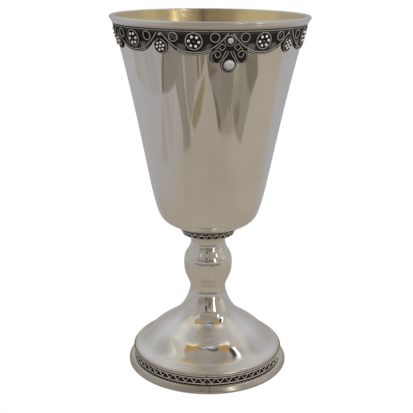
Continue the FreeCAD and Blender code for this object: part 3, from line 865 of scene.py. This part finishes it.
def collar_pieces():
    sheet = 0.5
    cone = lathe("collar_sheet", [
        COLLAR_LOW, COLLAR_HIGH, (COLLAR_HIGH[0] - sheet, COLLAR_HIGH[1]),
        (COLLAR_LOW[0] - sheet, COLLAR_LOW[1])], 160)
    piece("collar_sheet", cone, PLAIN_PATINA, "oxidised_silver", "collar_cone")
    bright = wire_material("collar_wire_silver", 0.16, 0.34, COLLAR_CONE, bright=(0.92, 0.89, 0.83),
                           metal=0.75)
    dim = wire_material("collar_fine_silver", 0.06, 0.18, COLLAR_CONE, bright=(0.55, 0.52, 0.47))
    fine_peak_az = COLLAR_PEAK_AZ + 90 / COLLAR_TEETH
    teeth = rounded_teeth(COLLAR_TEETH, COLLAR_R, 0.145 * COLLAR_RISE, 0.80 * COLLAR_RISE, COLLAR_PEAK_AZ)
    fine = rounded_teeth(2 * COLLAR_TEETH, COLLAR_R, 0.895 * COLLAR_RISE, 0.918 * COLLAR_RISE, fine_peak_az)
    top = level_ring(COLLAR_R, 0.975 * COLLAR_RISE, 240)
    bottom = level_ring(COLLAR_R, 0.045 * COLLAR_RISE, 240)
    for name, path, width, low, high, look, node in (
            ("collar_teeth", teeth, 0.31, 0.04, 0.42, bright, "collar_zigzag"),
            ("collar_fine_teeth", fine, 0.12, 0.02, 0.20, dim, "collar_upper_zigzag"),
            ("collar_top_bead", top, 0.20, 0.0, 0.20, dim, "collar_top_wire"),
            ("collar_bottom_bead", bottom, 0.16, 0.0, 0.16, dim, "collar_bottom_wire")):
        wires = Wires()
        wires.lay(path, width, collar_wall, low=low, high=high, closed=True, depth=0.06, step=0.12, sides=8)
        filigree(name, wires, node, look)


# ---------------- stem and foot
def stem_piece():
    seat_z, seat_low_z = COLLAR_LOW[1], COLLAR_LOW[1] - 0.25
    outer = cubic([(SEAT_R, seat_low_z), (8.5, 57.8), (7.45, 56.2), (7.37, 54.9), (8.3, 52.0),
                   (9.68, 49.6), (10.32, 45.5), (9.62, 40.5), (8.08, 36.9), (STEM_FOOT_R, JOINT_Z)],
                  16, (-1.0, -0.25), (-0.1, -1.0))
    wall, hole = 0.8, 5.05
    inner = inset(outer, wall)
    inner = inner[(inner[:, 0] < HUB_R - wall) | (inner[:, 1] < 50.0)]
    inner[-1] = (STEM_FOOT_R - wall, JOINT_Z)
    top = [(hole, STEM_TOP_Z), (HUB_R, STEM_TOP_Z), (HUB_R, seat_z), (SEAT_R, seat_z)]
    under_top = [(HUB_R - wall, seat_z - 0.4), (HUB_R - wall, STEM_TOP_Z - wall),
                 (hole, STEM_TOP_Z - wall)]
    stem = lathe("stem_and_knop", np.vstack([top, outer, inner[::-1], under_top]), 256)
    piece("stem_and_knop", stem, MIRROR, "polished_silver", "stem_knop")


def foot_piece():
    hole, plate, wall = 2.2, 1.0, 0.8
    outer = cubic([(7.55, JOINT_Z), (7.85, 32.6), (9.4, 28.2), (11.75, 24.3), (16.2, 20.2), (21.65, 16.5),
                   (26.2, 12.4), (29.7, 9.45), (31.25, 8.55), (32.0, BAND_HIGH_Z)],
                  16, (0.02, -1.0), (0.0, -1.0))
    inner = inset(outer, wall)
    inner = inner[inner[:, 1] < JOINT_Z - plate]
    profile = np.vstack([[(hole, JOINT_Z)], outer, inner[::-1],
                         [(inner[0, 0], JOINT_Z - plate), (hole, JOINT_Z - plate)]])
    piece("foot_shell", lathe("foot_shell", profile), FOOT, "polished_silver", "foot")


def base_piece():
    top_in, top_out = (BAND_R - 0.35, BAND_LOW_Z), (33.1, BAND_LOW_Z)
    outer = cubic([top_out, (33.6, 2.74), (34.15, 2.0), (BASE_R, 1.05), (BASE_R, 0.55), (34.25, 0.0)],
                  12)
    outer[:, 0] = np.minimum(outer[:, 0], BASE_R)
    inner = cubic([(33.25, 0.0), (33.6, 0.7), (33.25, 1.5), (32.7, BAND_LOW_Z - 1.0)], 8)
    inner[:, 1] = np.clip(inner[:, 1], 0.0, None)
    profile = np.vstack([[top_in], outer, inner, [(top_in[0], BAND_LOW_Z - 1.0)]])
    piece("base_flange", lathe("base_flange", profile), FLANGE, "moulding_silver", "base_ring")


def gallery_pieces():
    sheet = 0.35
    band = lathe("gallery_sheet", [(BAND_R - sheet, BAND_LOW_Z), (BAND_R, BAND_LOW_Z),
                                   (BAND_R, BAND_HIGH_Z), (BAND_R - sheet, BAND_HIGH_Z)])
    piece("gallery_sheet", band, PLAIN_PATINA, "oxidised_silver", "gallery_band")
    bright = wire_material("gallery_wire_silver", 0.34, 0.66, BAND_CYLINDER, bright=(0.80, 0.75, 0.66),
                           metal=0.8)
    teeth = Wires()
    path = rounded_teeth(GALLERY_TEETH, BAND_R, 4.15, 6.2, 0.0)
    teeth.lay(path, 0.36, band_wall, low=0.06, high=0.70, closed=True, depth=0.05, step=0.1)
    filigree("gallery_teeth", teeth, "gallery_zigzag", bright)
    brown = wire_material("gallery_bead_silver", 0.30, 0.75, BAND_CYLINDER, bright=(0.48, 0.43, 0.36))
    for name, radius, z, wire_r, look, node in (
            ("gallery_top_bead", 32.16, 7.05, 0.38, brown, "gallery_top_wire"),
            ("gallery_bottom_bead", 32.12, 3.57, 0.25, bright, "gallery_bottom_wire")):
        ring = Wires()
        lift = radius - BAND_R
        ring.lay(level_ring(BAND_R, z, 720), 2 * wire_r, band_wall, low=lift - wire_r, high=lift + wire_r,
                 closed=True, depth=0.07, pitch=1.1, step=0.16, sides=12)
        filigree(name, ring, node, look)


collar_pieces()
stem_piece()
foot_piece()
base_piece()
gallery_pieces()


# ---------------- CAD nodes that stay as they are
def dress(node, look):
    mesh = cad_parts[node].data
    mesh.materials.clear()
    mesh.materials.append(look)


dress("frieze_strip", PATINA)
for hidden in ("bowl_boss", "tie_rod", "foot_washer", "foot_nut"):
    dress(hidden, BRASS)


# ---------------- studio
def stage_mesh(name, corners, look):
    """One flat face of the studio, from its corners in millimetres."""
    mesh = bpy.data.meshes.new(name)
    mesh.from_pydata((np.array(corners) * MM).tolist(), [], [tuple(range(len(corners)))])
    mesh.materials.append(look)
    made = add_object(name, mesh)
    return made


def glow(name, colour):
    made = bpy.data.materials.new(name)
    made.use_nodes = True
    n = Nodes(made.node_tree)
    light = n.node("ShaderNodeEmission")
    n.put(light.inputs[0], colour)
    n.show(light)
    return made, n, light


def shaded(tone, factor):
    return tuple(factor * c for c in tone)


def streaked(n, tone, change):
    """A tone with soft stripes that run away from the goblet, which the bowl shows upright."""
    radius, angle, z = cylinder_parts(n, n.place())
    stripes = n.noise(n.vector(n.mul(angle, 5.0), n.mul(radius, 3.0)), 1.0, 3.0, 0.6)
    return n.blend(n.ramp(stripes, 0.3, 0.7), shaded(tone, 1 - change), shaded(tone, 1 + change))


def square(half, height):
    return [(-half, -half, height), (half, -half, height), (half, half, height), (-half, half, height)]


FLOOR_Z, TABLE_Z, PAPER_Z = -0.2, -0.6, -0.5
PAPER_LIFT = 0.01                # each paper lies this much above the one before it
TABLE_TONE = (0.368, 0.328, 0.275)


def floor():
    """A pale floor for the eye, and the warm grey table top that the metal mirrors."""
    look, n, light = glow("pale_floor", (1.0, 1.0, 1.0))
    seen = stage_mesh("floor", square(6000.0, FLOOR_Z), look)
    for ray in ("diffuse", "glossy", "transmission", "shadow", "volume_scatter"):
        setattr(seen, "visible_" + ray, False)
    look, n, light = glow("table_top", TABLE_TONE)
    x, y, z = n.split(n.place())
    tone = streaked(n, TABLE_TONE, 0.03)
    tone = n.blend(n.ramp(x, -100 * MM, -200 * MM), tone, (0.395, 0.378, 0.385))
    tone = n.blend(n.ramp(x, 70 * MM, 140 * MM), tone, (0.400, 0.355, 0.300))
    edge = n.math("MAXIMUM", n.ramp(n.absolute(x), 360 * MM, 460 * MM), n.ramp(y, 50 * MM, 160 * MM))
    n.put(light.inputs[0], n.blend(edge, tone, (0.405, 0.400, 0.415)))
    table = stage_mesh("table_top", square(1200.0, TABLE_Z), look)
    table.visible_camera = False
    table.visible_shadow = False


# Toned papers round the front of the goblet: name, tone, corners in millimetres. The polished bowl
# mirrors them as its darker and lighter zones.
PAPERS = [
    ("paper_far", (0.215, 0.190, 0.160), [
        (-254, -136), (-600, -420), (0, -900), (600, -420), (253, -139), (180, -200), (94, -240),
        (-27, -252), (-70, -245), (-165, -208)]),
    ("paper_left_grey", (0.370, 0.350, 0.345), [
        (-450, 190), (-329, 168), (-307, 58), (-237, -86), (-254, -136), (-600, -420)]),
    ("paper_left_stripe", (0.358, 0.333, 0.308), [(-242, -82), (-181, -150), (-166, -77), (-200, 10)]),
    ("paper_left_dark", (0.222, 0.200, 0.170), [
        (-254, -136), (-165, -208), (-160, -187), (-176, -162), (-237, -87)]),
    ("paper_left_edge", (0.150, 0.132, 0.105), [(-254, -136), (-244, -145), (-229, -96), (-237, -87)]),
    ("paper_left_olive", (0.245, 0.220, 0.185), [
        (-176, -162), (-160, -187), (-165, -208), (-140, -221), (-127, -193), (-100, -173), (-89, -157),
        (-120, -132), (-129, -146), (-150, -158)]),
    ("paper_olive", (0.270, 0.243, 0.205), [
        (-138, -222), (-70, -245), (-57, -223), (-80, -202), (-92, -176), (-114, -184)]),
    ("paper_light_line", (0.370, 0.335, 0.280), [
        (-149, -216), (-139, -220), (-125, -194), (-99, -173), (-105, -171), (-133, -190)]),
    ("paper_brown", (0.185, 0.148, 0.112), [(-74, -244), (-58, -247), (-52, -221), (-62, -219)]),
    ("paper_brown_pale", (0.205, 0.165, 0.125), [(-52, -248), (-27, -252), (-28, -243), (-46, -222)]),
    ("paper_leaf", (0.245, 0.192, 0.125), [
        (-26, -229), (-26, -219), (-44, -198), (-73, -177), (-88, -178), (-79, -195), (-49, -216)]),
    ("paper_right_brown", (0.232, 0.205, 0.170), [
        (-20, -253), (94, -240), (130, -201), (110, -180), (120, -157), (78, -173), (47, -184), (25, -211),
        (-5, -228)]),
    ("paper_wedge", (0.165, 0.130, 0.098), [(-16, -248), (46, -231), (5, -226), (-4, -227)]),
    ("paper_dark_line", (0.145, 0.120, 0.088), [
        (12, -220), (41, -207), (57, -189), (49, -182), (35, -201)]),
    ("paper_peak", (0.310, 0.262, 0.205), [(98, -188), (66, -183), (61, -178), (121, -154), (112, -170)]),
    ("paper_right_olive", (0.262, 0.240, 0.188), [
        (130, -202), (180, -200), (253, -139), (245, -105), (209, -120), (188, -119), (150, -117),
        (123, -154), (113, -179)]),
    ("paper_right_dark", (0.175, 0.160, 0.118), [
        (186, -196), (251, -139), (243, -107), (207, -122), (186, -160)]),
    ("paper_right_core", (0.190, 0.175, 0.125), [
        (126, -175), (152, -164), (150, -150), (132, -150), (122, -162)]),
    ("paper_right_line", (0.350, 0.318, 0.255), [(127, -205), (134, -204), (129, -190), (123, -191)]),
    ("paper_right_line_2", (0.330, 0.300, 0.240), [(141, -203), (147, -201), (141, -185), (136, -186)]),
]


def papers():
    for number, (name, tone, corners) in enumerate(PAPERS):
        look, n, light = glow(name, tone)
        n.put(light.inputs[0], streaked(n, tone, 0.08))
        height = PAPER_Z + PAPER_LIFT * number
        made = stage_mesh(name, [(x, y, height) for x, y in corners], look)
        made.visible_camera = False
        made.visible_shadow = False


# Upright cards round the axis, just above the lip: name, tone, two azimuths, two heights.
# The flag keeps the window's glare out of the cup, the gleam and the glow light parts of the gilt.
CARD_DISTANCE = 200.0
CARDS = [
    ("flag", (0.33, 0.30, 0.26), 17.0, 47.0, 158.0, 244.0),
    ("gleam", (1.9, 1.75, 1.4), 49.0, 55.5, 186.0, 240.0),
    ("glow", (0.52, 0.50, 0.44), -105.0, -38.0, 186.0, 240.0),
]


def cards():
    for name, tone, az_low, az_high, z_low, z_high in CARDS:
        look, n, light = glow(name, tone)
        corners = []
        for az, z in ((az_low, z_low), (az_high, z_low), (az_high, z_high), (az_low, z_high)):
            a = math.radians(az)
            corners.append((CARD_DISTANCE * math.sin(a), -CARD_DISTANCE * math.cos(a), z))
        made = stage_mesh(name, corners, look)
        made.visible_camera = False
        made.visible_diffuse = False
        made.visible_shadow = False


# Soft-edged panels of the room, each over the ones before: tone, middle azimuth and half width,
# middle elevation and half height, width of the soft edge, then lean and tilt. Angles in degrees.
PANELS = [
    # pale walls high at both sides, and the duller walls in front
    ((0.66, 0.65, 0.62), -96.0, 24.0, 53.0, 9.0, 12.0),
    ((0.58, 0.56, 0.515), 108.0, 18.0, 49.0, 9.0, 12.0),
    ((0.275, 0.250, 0.210), 8.0, 46.0, 54.0, 9.0, 12.0),
    ((0.255, 0.228, 0.192), -15.0, 41.0, 0.0, 22.0, 12.0),
    ((0.195, 0.165, 0.135), 5.0, 20.0, 0.0, 20.0, 14.0),
    # dark things in front
    ((0.17, 0.15, 0.14), -2.0, 20.0, 39.5, 1.2, 1.5),
    ((0.045, 0.038, 0.032), -7.0, 4.5, 32.0, 6.0, 3.0),
    ((0.12, 0.10, 0.085), 11.0, 6.0, 24.0, 6.0, 4.0),
    ((0.06, 0.05, 0.042), -9.0, 4.0, 9.0, 4.0, 3.0),
    # a dark and a pale stripe to the right
    ((0.205, 0.185, 0.150), 66.0, 8.0, 0.0, 12.0, 5.0),
    ((0.52, 0.485, 0.42), 86.0, 12.0, 5.0, 22.0, 8.0),
    # the window, two smaller bright openings and a dark edge beside them
    ((2.4, 2.35, 2.25), 36.0, 3.5, 21.0, 16.0, 3.0, 0.05),
    ((1.7, 1.75, 1.8), 75.0, 5.5, 50.0, 5.5, 4.0, 0.3),
    ((1.5, 1.5, 1.5), 81.0, 5.0, 64.5, 2.5, 2.0),
    ((0.05, 0.038, 0.030), 68.0, 5.0, 56.0, 6.0, 4.0, -0.6),
    # thin dark edges under the ceiling
    ((0.11, 0.09, 0.08), 25.0, 42.0, 68.5, 1.5, 2.5, 0.0, -0.14),
    ((0.17, 0.15, 0.13), -35.0, 30.0, 67.5, 0.9, 2.0, 0.0, 0.10),
    # cream and pale patches high at both sides
    ((0.80, 0.70, 0.47), -62.0, 17.0, 68.5, 3.5, 5.0, -1.0, 0.30),
    ((0.80, 0.73, 0.58), 66.0, 12.0, 68.0, 3.5, 5.0, 1.0, -0.30),
    ((0.56, 0.545, 0.52), -82.0, 15.0, 58.0, 5.0, 7.0, 0.0, 0.2),
    ((0.50, 0.475, 0.43), 92.0, 9.0, 56.0, 6.0, 7.0, 0.0, -0.3),
    # the two gold patches on the dome, and the blue-white line between them
    ((0.43, 0.26, 0.085), -53.0, 16.0, 64.5, 4.2, 3.5, -1.0, 0.35),
    ((0.43, 0.26, 0.085), 57.0, 13.0, 63.5, 4.2, 3.5, 1.0, -0.35),
    ((0.66, 0.74, 0.82), 7.0, 27.0, 73.0, 0.8, 1.2),
]


def room():
    """Soft grey studio: white to the camera, toned panels and windows for the metal to mirror."""
    world = bpy.data.worlds.new("studio")
    bpy.context.scene.world = world
    world.use_nodes = True
    n = Nodes(world.node_tree)
    ray = n.node("ShaderNodeTexCoord").outputs["Generated"]
    x, y, z = n.split(ray)
    degrees = 360.0 / TAU
    az = n.mul(n.math("ARCTAN2", x, n.mul(y, -1.0)), degrees)
    el = n.mul(n.math("ARCSINE", z), degrees)
    # a little waviness, so that no panel has a ruled edge
    az = n.add(az, n.mul(n.sub(n.noise(ray, 7.0), 0.5), 14.0))
    el = n.add(el, n.mul(n.sub(n.noise(n.stretched(ray, (-1.0, -1.0, 1.0)), 9.0), 0.5), 7.0))

    def panel(under, tone, az_mid, az_half, el_mid, el_half, soft, lean=0.0, tilt=0.0):
        """lean shifts the panel sideways as it rises, tilt raises it sideways."""
        aside = n.sub(az, az_mid)
        rise = n.sub(n.sub(el, el_mid), n.mul(aside, tilt))
        across = n.absolute(n.sub(aside, n.mul(rise, lean)))
        edge = soft / 2
        mask = n.mul(n.ramp(across, az_half + edge, az_half - edge),
                     n.ramp(n.absolute(rise), el_half + edge, el_half - edge))
        return n.blend(mask, under, tone)

    lateral = n.absolute(az)
    high_side = n.blend(n.ramp(el, 5.0, 35.0), (0.405, 0.395, 0.385), (0.53, 0.535, 0.575))
    tone = n.blend(n.ramp(lateral, 45.0, 75.0), (0.345, 0.315, 0.280), (0.400, 0.393, 0.380))
    tone = n.blend(n.ramp(lateral, 103.0, 135.0), tone, high_side)
    tone = n.blend(n.ramp(el, 78.0, 83.0), tone, (0.28, 0.262, 0.232))
    for row in PANELS:
        tone = panel(tone, *row)
    tone = n.blend(n.ramp(el, 11.0, 0.0), tone, (0.385, 0.362, 0.335))

    light_path = n.node("ShaderNodeLightPath")
    shown = n.node("ShaderNodeBackground")
    n.put(shown.inputs[0], n.blend(light_path.outputs["Is Camera Ray"], tone, (1.0, 1.0, 1.0)))
    n.show(shown, "ShaderNodeOutputWorld")


def key_light():
    """A broad soft lamp for the matt filigree; polished metal does not mirror it."""
    lamp = bpy.data.lights.new("key", "AREA")
    lamp.shape = "DISK"
    lamp.size = 0.5
    lamp.energy = 18.0
    made = add_object("key", lamp)
    made.location = (0.25, -0.75, 0.85)
    made.rotation_euler = (Vector((0, 0, 0.13)) - made.location).to_track_quat("-Z", "Y").to_euler()
    made.visible_glossy = False


def camera():
    """The viewing point, in front and a little above the lip, looking down with a slight roll."""
    pitch, roll = math.radians(16.85), math.radians(0.47)
    level = Vector((1, 0, 0))
    rise = Vector((0, math.sin(pitch), math.cos(pitch)))
    right = level * math.cos(roll) + rise * math.sin(roll)
    up = rise * math.cos(roll) - level * math.sin(roll)
    back = right.cross(up)
    lens = bpy.data.cameras.new("camera")
    lens.lens = 72.6
    lens.sensor_width = 36.0
    lens.dof.use_dof = False
    made = add_object("camera", lens)
    place = Matrix((right, up, back)).transposed().to_4x4()
    place.translation = Vector((-0.00083, -0.339, 0.17284))
    made.matrix_world = place
    bpy.context.scene.camera = made


floor()
papers()
cards()
room()
key_light()
camera()
view = bpy.context.scene.view_settings
view.view_transform = "Standard"
view.look = "None"
